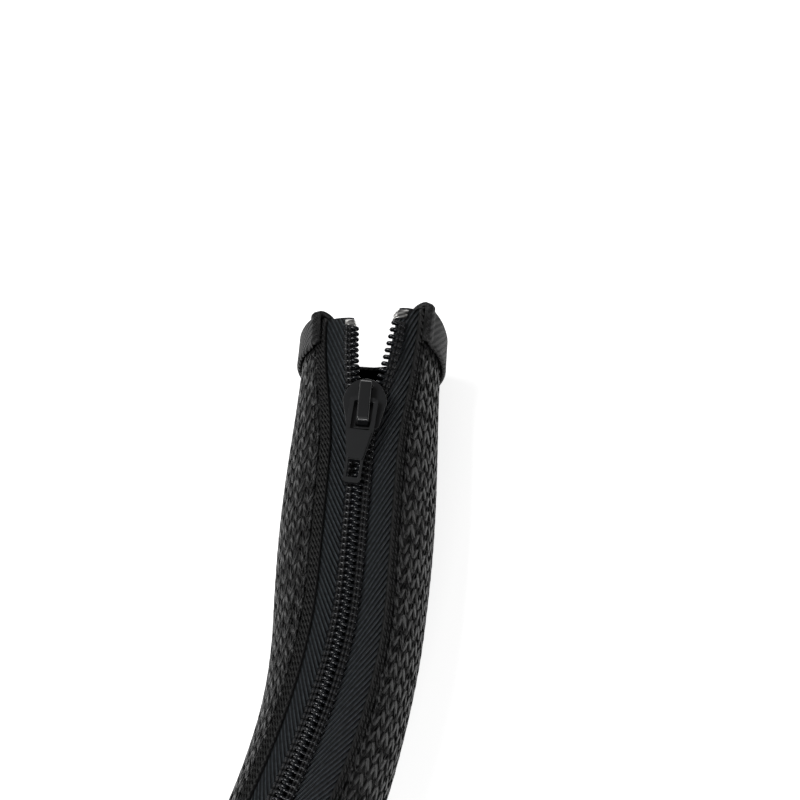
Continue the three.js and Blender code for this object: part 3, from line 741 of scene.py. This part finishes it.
class SLEEVE_OT_edges(bpy.types.Operator):
    """Builds the rolled selvages along the fabric edges, with their stitches"""

    bl_idname = "sleeve.edges"
    bl_label = "Fabric edges"

    def execute(self, context):
        settings = context.scene.cable_sleeve
        tube = Tube(settings)
        s = settings.sleeve
        look = settings.look
        b = settings.braid
        material = twill_finish("selvage", scaled(look.braid, 0.38), 900, 0.9, 0.5)
        for side, label, cords in ((LEFT, "left", b.left_cords), (RIGHT, "right", b.right_cords)):
            strands = [self.strand(tube, s, side, (k + 0.5) * b.cord, b.cord) for k in range(cords)]
            rib = joined("selvage_" + label, strands)
            dressed(rib, material, "braid", "sleeve")
        self.seams(tube, s, look)
        return {"FINISHED"}

    def strand(self, tube, s, side, inset, width):
        """One cord of a selvage along the fabric's edge."""
        sides = 8
        half = width * 0.52
        trim = 0.5 * MM
        rings = []
        uvs = []
        for station in spaced(trim, s.length - trim, 250):
            ring = []
            uv = []
            for k in range(sides):
                turn = math.tau * k / sides
                across = tube.edge(station, side) + inset + half * math.cos(turn)
                out = s.wall * 0.55 + (s.wall * 0.45 + s.ridge) * math.sin(turn)
                angle = tube.zip_angle(station) + side * across / tube.half_width(station)
                ring.append(tube.point(station, angle, out))
                uv.append((side * k / sides * 4 * MM, station))
            rings.append(ring)
            uvs.append(uv)
        return lofted("strand", rings, uvs)

    def seams(self, tube, s, look):
        """Lockstitch rows that join the fabric to the tapes."""
        places = []
        pitch = 3.2 * MM
        out = s.wall + 0.22 * MM
        for side, inset in ((LEFT, 3.0 * MM), (RIGHT, 2.2 * MM)):
            count = int((s.length - 2 * s.binding_length) / pitch)
            for i in range(count):
                station = s.binding_length + (i + 0.5) * pitch
                across = tube.edge(station, side) + inset
                angle = tube.zip_angle(station) + side * across / tube.half_width(station)
                here, outward, along = frame_at(tube, station, angle, out, out, 1 * MM)
                places.append((here, outward, along, (1, 1, 1)))
        pattern = pillow("stitch", 0.45 * MM, 2.6 * MM, 0.28 * MM, 0.25 * MM, 0.5)
        thread = plain_finish("sewing thread", look.thread, 0.55)
        made = copies("seam_stitches", places, pattern, thread)
        dressed(made, thread, "tape", "sleeve")


class SLEEVE_OT_bindings(bpy.types.Operator):
    """Builds the woven bindings folded over both raw ends"""

    bl_idname = "sleeve.bindings"
    bl_label = "End bindings"

    def execute(self, context):
        settings = context.scene.cable_sleeve
        tube = Tube(settings)
        s = settings.sleeve
        material = twill_finish("binding weave", settings.look.binding, 700, -0.75, 0.6)
        self.band(tube, s, 0.0, 1, "mouth_binding_weave", "mouth_binding", material)
        self.band(tube, s, s.length, -1, "far_end_binding_weave", "far_end_binding", material)
        return {"FINISHED"}

    def band(self, tube, s, end, inwards, name, node, material):
        """One band: its section runs up the outside, over the fold and down the inside."""
        outer = s.wall + s.gap + 0.5 * MM
        inner = -2 * s.gap - 0.6 * MM
        thick = s.binding
        middle = (outer + inner) / 2
        reach = (outer - inner) / 2
        steps = 96
        knob = 0.55
        corner_rise = 0.5 * MM
        section = [(s.binding_length, outer), (s.binding_length, outer + thick * 0.5)]
        section += [(s.binding_length - 0.6 * MM, outer + thick)]
        section += [(share * s.binding_length, outer + thick) for share in (0.66, 0.33)]
        for k in range(9):
            turn = math.pi * k / 8
            section.append(
                (
                    -(s.fold_room + thick) * math.sin(turn),
                    middle + (reach + thick) * math.cos(turn),
                )
            )
        section += [(share * s.binding_length, inner - thick) for share in (0.5, 1)]
        section.append((s.binding_length, inner))
        section += [(0.3 * MM, inner), (-s.gap * 0.6, inner), (-s.gap * 0.6, outer)]
        section.append((0.3 * MM, outer))
        lengths = [0.0]
        for a, b in zip(section, section[1:]):
            lengths.append(lengths[-1] + math.dist(a, b))
        rings = []
        uvs = []
        for share in spaced(0, 1, steps):
            ring = []
            uv = []
            taper = min(share, 1 - share) * steps
            swell = 1 + knob * math.sin(math.pi * min(1, (taper + 0.6) / 4))
            corner = corner_rise * max(0, 1 - taper / 4) ** 2
            for (inset, out), run in zip(section, lengths):
                station = end + inwards * (inset - (corner if inset <= 0 else 0))
                angle = tube.wall_angle(station, share)
                out = middle + (out - middle) * swell
                lowest = min(max(out, inner), outer + thick)
                lift = tube.floor_lift_full + s.wall
                floor_out = lift if out > outer else lift - thick
                if out <= 0:
                    floor_out = lowest
                ring.append(tube.point(station, angle, out, floor_out))
                uv.append((share * CLOTH_WIDTH, run))
            rings.append(ring)
            uvs.append(uv)
        made = lofted(name, rings, uvs)
        dressed(made, material, "binding", "sleeve", node)


class SLEEVE_OT_tapes(bpy.types.Operator):
    """Builds the twill tapes of the zip"""

    bl_idname = "sleeve.tapes"
    bl_label = "Zip tapes"

    def execute(self, context):
        settings = context.scene.cable_sleeve
        tube = Tube(settings)
        s = settings.sleeve
        z = settings.zip
        ribs = 930
        rib_turn = 1.08
        for side, label in ((LEFT, "left"), (RIGHT, "right")):
            rings = []
            uvs = []
            for station in spaced(0, s.length, 260):
                inner = tube.gape(station, side) + z.inset
                outer = tube.edge(station, side) + z.lap
                across = spaced(inner, outer, 10)
                ring = [tube.zip_point(station, side, a, -s.gap) for a in across]
                ring += [tube.zip_point(station, side, a, -s.gap - z.tape) for a in reversed(across)]
                rings.append(ring)
                uvs.append([(side * a, station) for a in across + across[::-1]])
            made = lofted("tape_" + label, rings, uvs)
            material = twill_finish("twill " + label, settings.look.tape, ribs, side * rib_turn, 0.45)
            dressed(made, material, "tape", "sleeve", "zip_tape_" + label)
        return {"FINISHED"}


class SLEEVE_OT_coils(bpy.types.Operator):
    """Builds the teeth of both coils and the threads that sew them down"""

    bl_idname = "sleeve.coils"
    bl_label = "Zip coils"

    def execute(self, context):
        settings = context.scene.cable_sleeve
        tube = Tube(settings)
        s = settings.sleeve
        z = settings.zip
        look = settings.look
        start = z.stop_at + z.stop_length + z.stop_to_coil + z.filament
        count = int((s.length - 2 * start) / z.pitch)
        for side, label in ((LEFT, "left"), (RIGHT, "right")):
            teeth = []
            threads = []
            for i in range(count):
                station = start + (i + (0.0 if side == LEFT else 0.5)) * z.pitch
                middle = tube.gape(station, side)
                here = tube.zip_point(station, side, middle, 0.0)
                ahead = tube.zip_point(station + 1 * MM, side, tube.gape(station + 1 * MM, side), 0.0)
                beside = tube.zip_point(station, side, middle + 2 * MM, 0.0)
                along = (ahead - here).normalized() * (1 if side == LEFT else -1)
                outward = (beside - here).cross(along).normalized()
                teeth.append((here, outward, along, (1, 1, 1)))
                threads.append((here, outward, along, (1, 1, 1)))
            nylon = plain_finish("coil filament " + label, look.nylon, 0.18, grain=0.00001)
            made = copies("teeth_" + label, teeth, self.tooth(z), nylon)
            dressed(made, nylon, "nylon", "sleeve", "zip_coil_" + label)
            thread = plain_finish("coil thread " + label, look.thread, 0.6)
            sewn = copies("coil_thread_" + label, threads, self.stitch(z), thread)
            dressed(sewn, thread, "tape", "sleeve")
        return {"FINISHED"}

    def tooth(self, z):
        """One turn of the coil: a closed tube with a flattened head."""
        p = z.pitch
        r = z.filament
        path = [
            (3.0 * MM, -0.40 * p, 0.40 * MM, r, r),
            (3.2 * MM, -0.25 * p, 0.60 * MM, r, r),
            (2.9 * MM, -0.05 * p, 0.80 * MM, r, r),
            (1.8 * MM, 0.0, 0.86 * MM, r, r),
            (1.4 * MM, 0.0, 1.0 * MM, r, r),
            (1.1 * MM, 0.0, 1.3 * MM, z.head, z.flat),
            (0.85 * MM, 0.0, 1.41 * MM, z.head, z.flat),
            (0.1 * MM, 0.0, 1.41 * MM, z.head, z.flat),
            (-0.25 * MM, 0.0, 1.27 * MM, z.head * 0.96, z.flat),
            (-0.42 * MM, 0.0, 0.95 * MM, z.head * 0.9, z.flat),
            (-0.3 * MM, 0.0, 0.55 * MM, z.head * 0.9, z.flat),
            (0.6 * MM, 0.05 * p, 0.36 * MM, r, r),
            (2.0 * MM, 0.35 * p, 0.36 * MM, r, r),
            (3.0 * MM, 0.60 * p, 0.40 * MM, r, r),
        ]
        centres = [Vector(step[:3]) for step in path]
        sides = 8
        points = []
        for i, centre in enumerate(centres):
            before = centres[max(i - 1, 0)]
            after = centres[min(i + 1, len(centres) - 1)]
            tangent = (after - before).normalized()
            wide = Vector((0, 1, 0))
            wide = (wide - tangent * wide.dot(tangent)).normalized()
            high = tangent.cross(wide)
            for k in range(sides):
                turn = math.tau * k / sides
                offset = wide * (path[i][3] * math.cos(turn)) + high * (path[i][4] * math.sin(turn))
                points.append(centre + offset)
        faces = []
        for i in range(len(path) - 1):
            for k in range(sides):
                after = (k + 1) % sides
                a = i * sides + k
                b = i * sides + after
                faces.append((a, b, b + sides, a + sides))
        faces.append(tuple(range(sides)))
        last = (len(path) - 1) * sides
        faces.append(tuple(range(last, last + sides)))
        return mesh_object("tooth", points, faces)

    def stitch(self, z):
        """A pair of stitches across one tooth's leg."""
        one = pillow("stitch", 1.1 * MM, z.pitch * 1.05, 0.15 * MM, 0.45 * MM, 0.85)
        mesh = one.data
        bm = bmesh.new()
        bm.from_mesh(mesh)
        copy = bmesh.ops.duplicate(bm, geom=bm.verts[:] + bm.edges[:] + bm.faces[:])
        second = [item for item in copy["geom"] if isinstance(item, bmesh.types.BMVert)]
        first = [vert for vert in bm.verts if vert not in set(second)]
        bmesh.ops.translate(bm, verts=first, vec=(1.85 * MM, 0, 1.24 * MM))
        bmesh.ops.translate(bm, verts=second, vec=(2.72 * MM, 0, 1.14 * MM))
        bm.to_mesh(mesh)
        bm.free()
        return one


class SLEEVE_OT_cloth(bpy.types.Operator):
    """States the flat sizes that the cloth pieces were cut to"""

    bl_idname = "sleeve.cloth"
    bl_label = "Cloth pieces"
    # Does nothing; no sizes of the cloth pieces are stated.

    def execute(self, context):
        return {"FINISHED"}


class SLEEVE_OT_stops(bpy.types.Operator):
    """Builds the crimped top and bottom stops"""

    bl_idname = "sleeve.stops"
    bl_label = "Stops"

    def execute(self, context):
        settings = context.scene.cable_sleeve
        tube = Tube(settings)
        z = settings.zip
        metal = crimped_finish(settings.look)
        for side, label in ((LEFT, "left"), (RIGHT, "right")):
            rings = []
            for share in spaced(0, 1, 12):
                station = z.stop_at + z.stop_length * share
                puff = 0.22 * MM * abs(math.sin(math.tau * share)) - 0.05 * MM
                inner = tube.gape(station, side) + z.inset - 0.4 * MM
                rings.append(self.clip_ring(tube, settings, station, side, inner, puff))
            made = lofted("stop_" + label, rings)
            dressed(made, metal, "bright_metal", "sleeve", "top_stop_" + label)
        made = self.bottom(tube, settings)
        dressed(made, metal, "bright_metal", "sleeve", "bottom_stop")
        return {"FINISHED"}

    def clip_ring(self, tube, settings, station, side, inner, puff):
        """Section of a clip round the tape's edge."""
        s = settings.sleeve
        z = settings.zip
        sheet = 0.5 * MM
        fit = 0.4 * MM
        top = -s.gap + fit
        under = -s.gap - z.tape - fit
        web = inner - sheet
        tip = web + z.stop_width
        corners = [
            (tip, top),
            (inner, top),
            (inner, under),
            (tip, under),
            (tip, under - sheet - puff),
            (web + 0.2 * MM, under - sheet - puff),
            (web - puff, under - 0.25 * MM),
            (web - puff, top + 0.25 * MM),
            (web + 0.2 * MM, top + sheet + puff),
            (web + 1.0 * MM, top + sheet + puff * 1.6),
            (tip - 0.5 * MM, top + sheet + puff * 1.4),
            (tip, top + sheet * 0.6),
        ]
        return [tube.zip_point(station, side, across, out) for across, out in corners]

    def bottom(self, tube, settings):
        """The clip over and under both tapes at the far end."""
        s = settings.sleeve
        z = settings.zip
        sheet = 0.5 * MM
        fit = 0.4 * MM
        inside = 0.4 * MM
        tip = 3.1 * MM
        top = -s.gap + fit
        under = -s.gap - z.tape - fit
        rings = []
        for share in spaced(0, 1, 8):
            station = s.length - z.stop_at - z.stop_length * (1 - share)
            puff = 0.2 * MM * math.sin(math.pi * share)
            right = [
                (1.6 * MM, top + sheet + puff),
                (tip, top + 0.4 * MM + puff / 2),
                (tip, top),
                (inside, top),
                (inside, under),
                (tip, under),
                (tip, under - sheet),
            ]
            left = [(-across, out) for across, out in reversed(right)]
            rings.append(
                [
                    tube.zip_point(station, RIGHT if across > 0 else LEFT, abs(across), out)
                    for across, out in right + left
                ]
            )
        return lofted("stop_bottom", rings)


class SLEEVE_OT_slider(bpy.types.Operator):
    """Builds the slider, its bridge and the pull tab with softened edges"""

    bl_idname = "sleeve.slider"
    bl_label = "Slider and pull"

    def execute(self, context):
        look = context.scene.cable_sleeve.look
        paint = plain_finish("charcoal enamel", look.paint, 0.4, 0.0, 0.00001, 3000, coat=0.5)
        for node, name, body, width in (
            ("slider_body", "slider_plates", "slider", 0.28),
            ("slider_bridge", "slider_crown", "slider", 0.16),
            ("pull_tab", "tab", "pull", 0.2),
        ):
            made = self.softened(node, name, width * MM)
            dressed(made, paint, "painted_metal", body, node)
        return {"FINISHED"}

    def softened(self, node, name, width):
        """A merged copy of the node's own solid with its edges rounded."""
        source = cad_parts[node]
        mesh = source.data.copy()
        mesh.transform(source.matrix_world)
        bm = bmesh.new()
        bm.from_mesh(mesh)
        bmesh.ops.remove_doubles(bm, verts=bm.verts, dist=1e-6)
        bmesh.ops.dissolve_limit(
            bm, angle_limit=math.radians(2), verts=bm.verts, edges=bm.edges
        )
        sharp = [
            edge
            for edge in bm.edges
            if len(edge.link_faces) == 2 and edge.calc_face_angle(0) > math.radians(28)
        ]
        bmesh.ops.bevel(
            bm,
            geom=sharp,
            offset=width,
            segments=3,
            profile=0.5,
            affect="EDGES",
            clamp_overlap=True,
        )
        bmesh.ops.triangulate(bm, faces=[f for f in bm.faces if len(f.verts) > 4])
        bm.to_mesh(mesh)
        bm.free()
        mesh.name = name
        mesh.polygons.foreach_set("use_smooth", [True] * len(mesh.polygons))
        made = bpy.data.objects.new(name, mesh)
        bpy.context.scene.collection.objects.link(made)
        weighted = made.modifiers.new("Weighted normals", "WEIGHTED_NORMAL")
        weighted.keep_sharp = False
        return made


class SLEEVE_OT_stage(bpy.types.Operator):
    """Sets the floor, the lights and the camera"""

    bl_idname = "sleeve.stage"
    bl_label = "Stage"

    def execute(self, context):
        scene = context.scene
        scene.view_settings.view_transform = "Standard"
        self.floor()
        self.light(scene)
        self.camera(scene)
        return {"FINISHED"}

    def floor(self):
        """Pale floor that stays white to the camera and keeps the shadow."""
        half = 4.0
        top = -0.2 * MM
        glow_strength = 0.8
        corners = [(-half, -half, top), (half, -half, top), (half, half, top), (-half, half, top)]
        mesh = bpy.data.meshes.new("floor")
        mesh.from_pydata(corners, [], [(0, 1, 2, 3)])
        floor = bpy.data.objects.new("floor", mesh)
        bpy.context.scene.collection.objects.link(floor)
        material = bpy.data.materials.new("floor white")
        material.use_nodes = True
        tree = material.node_tree
        tree.nodes.remove(tree.nodes["Principled BSDF"])
        nodes = Nodes(tree)
        path = nodes.add("ShaderNodeLightPath")
        matt = nodes.add("ShaderNodeBsdfDiffuse", {"Color": (0.9, 0.9, 0.9, 1)})
        seen = nodes.add(
            "ShaderNodeMath",
            {0: path.outputs["Is Camera Ray"], 1: path.outputs["Is Glossy Ray"]},
            operation="MAXIMUM",
        )
        glow = nodes.add(
            "ShaderNodeMath", {0: seen.outputs[0], 1: glow_strength}, operation="MULTIPLY"
        )
        shine = nodes.add("ShaderNodeEmission", {"Strength": glow.outputs[0]})
        both = nodes.add("ShaderNodeAddShader", {0: matt.outputs[0], 1: shine.outputs[0]})
        out = tree.nodes["Material Output"]
        tree.links.new(both.outputs[0], out.inputs["Surface"])
        mesh.materials.append(material)

    def light(self, scene):
        """White surroundings and three lamps."""
        world = bpy.data.worlds.new("studio")
        scene.world = world
        world.use_nodes = True
        tree = world.node_tree
        nodes = Nodes(tree)
        path = nodes.add("ShaderNodeLightPath")
        seen = nodes.add(
            "ShaderNodeMath",
            {0: path.outputs["Is Camera Ray"], 1: path.outputs["Is Transmission Ray"]},
            operation="MAXIMUM",
        )
        on_the_sleeve = 0.11
        to_the_camera = 1.0
        strength = nodes.add("ShaderNodeMapRange", {"Value": seen.outputs[0]})
        strength.inputs["To Min"].default_value = on_the_sleeve
        strength.inputs["To Max"].default_value = to_the_camera
        background = tree.nodes["Background"]
        background.inputs["Color"].default_value = (1, 1, 1, 1)
        tree.links.new(strength.outputs[0], background.inputs["Strength"])
        lengthwise = Vector((0, 1, 0))
        upright = Vector((0, 0, 1))
        aim = Vector((0, -0.12, 0.02))
        for name, place, across, along, tall, power in (
            ("key", (-0.46, -0.16, 0.8), 0.3, 0.8, lengthwise, 5.8),
            ("right", (0.85, -0.25, 0.4), 0.2, 0.2, upright, 0.15),
            ("front", (0.0, -1.0, 0.42), 0.3, 0.2, upright, 2.6),
        ):
            lamp = bpy.data.lights.new(name, "AREA")
            lamp.energy = power
            lamp.shape = "RECTANGLE"
            lamp.size = across
            lamp.size_y = along
            holder = bpy.data.objects.new(name, lamp)
            back = (Vector(place) - aim).normalized()
            right = tall.cross(back).normalized()
            turn = Matrix((right, back.cross(right), back)).transposed()
            holder.matrix_world = Matrix.Translation(place) @ turn.to_4x4()
            scene.collection.objects.link(holder)

    def camera(self, scene):
        """Long lens, high in front of the zip, framed as in the photograph."""
        look = scene.cable_sleeve.look
        mouth = Vector((0, 0, scene.cable_sleeve.sleeve.height))
        pixel_x = 373
        pixel_y = 312
        e = look.elevation
        a = look.azimuth
        back = Vector((math.sin(a) * math.cos(e), -math.cos(a) * math.cos(e), math.sin(e)))
        right = Vector((math.cos(a), math.sin(a), 0))
        up = back.cross(right)
        middle = IMAGE_WIDTH / 2
        target = mouth + right * ((middle - pixel_x) * look.scale)
        target += up * ((pixel_y - middle) * look.scale)
        camera = bpy.data.cameras.new("camera")
        camera.sensor_width = SENSOR_MM
        camera.lens = look.distance / look.scale / IMAGE_WIDTH * SENSOR_MM
        camera.clip_start = 0.01
        camera.clip_end = 20
        holder = bpy.data.objects.new("camera", camera)
        turn = Matrix((right, up, back)).transposed()
        holder.matrix_world = Matrix.Translation(target + back * look.distance) @ turn.to_4x4()
        scene.collection.objects.link(holder)
        scene.camera = holder


class SLEEVE_PT_panel(bpy.types.Panel):
    """Lists the sleeve's settings and its operators"""

    bl_label = "Cable sleeve"
    bl_space_type = "VIEW_3D"
    bl_region_type = "UI"
    bl_category = "Cable sleeve"

    def draw(self, context):
        settings = context.scene.cable_sleeve
        for group in (settings.sleeve, settings.braid, settings.zip, settings.look):
            box = self.layout.box()
            for name in group.bl_rna.properties.keys():
                if name not in {"rna_type", "name"}:
                    box.prop(group, name)
        for operator in OPERATORS:
            self.layout.operator(operator.bl_idname)


OPERATORS = (
    SLEEVE_OT_stage,
    SLEEVE_OT_braid,
    SLEEVE_OT_edges,
    SLEEVE_OT_bindings,
    SLEEVE_OT_tapes,
    SLEEVE_OT_coils,
    SLEEVE_OT_stops,
    SLEEVE_OT_slider,
    SLEEVE_OT_cloth,
)
CLASSES = (SleeveSizes, BraidSizes, ZipSizes, SceneColours, SleeveSettings, SLEEVE_PT_panel)


def register():
    """Registers the classes and the settings."""
    for item in CLASSES + OPERATORS:
        bpy.utils.register_class(item)
    bpy.types.Scene.cable_sleeve = PointerProperty(type=SleeveSettings)


def unregister():
    """Removes the settings and the classes."""
    del bpy.types.Scene.cable_sleeve
    for item in reversed(CLASSES + OPERATORS):
        bpy.utils.unregister_class(item)


def main():
    """Builds everything in order."""
    register()
    bpy.ops.sleeve.stage()
    bpy.ops.sleeve.braid()
    bpy.ops.sleeve.edges()
    bpy.ops.sleeve.bindings()
    bpy.ops.sleeve.tapes()
    bpy.ops.sleeve.coils()
    bpy.ops.sleeve.stops()
    bpy.ops.sleeve.slider()
    bpy.ops.sleeve.cloth()


if __name__ == "__main__":
    main()
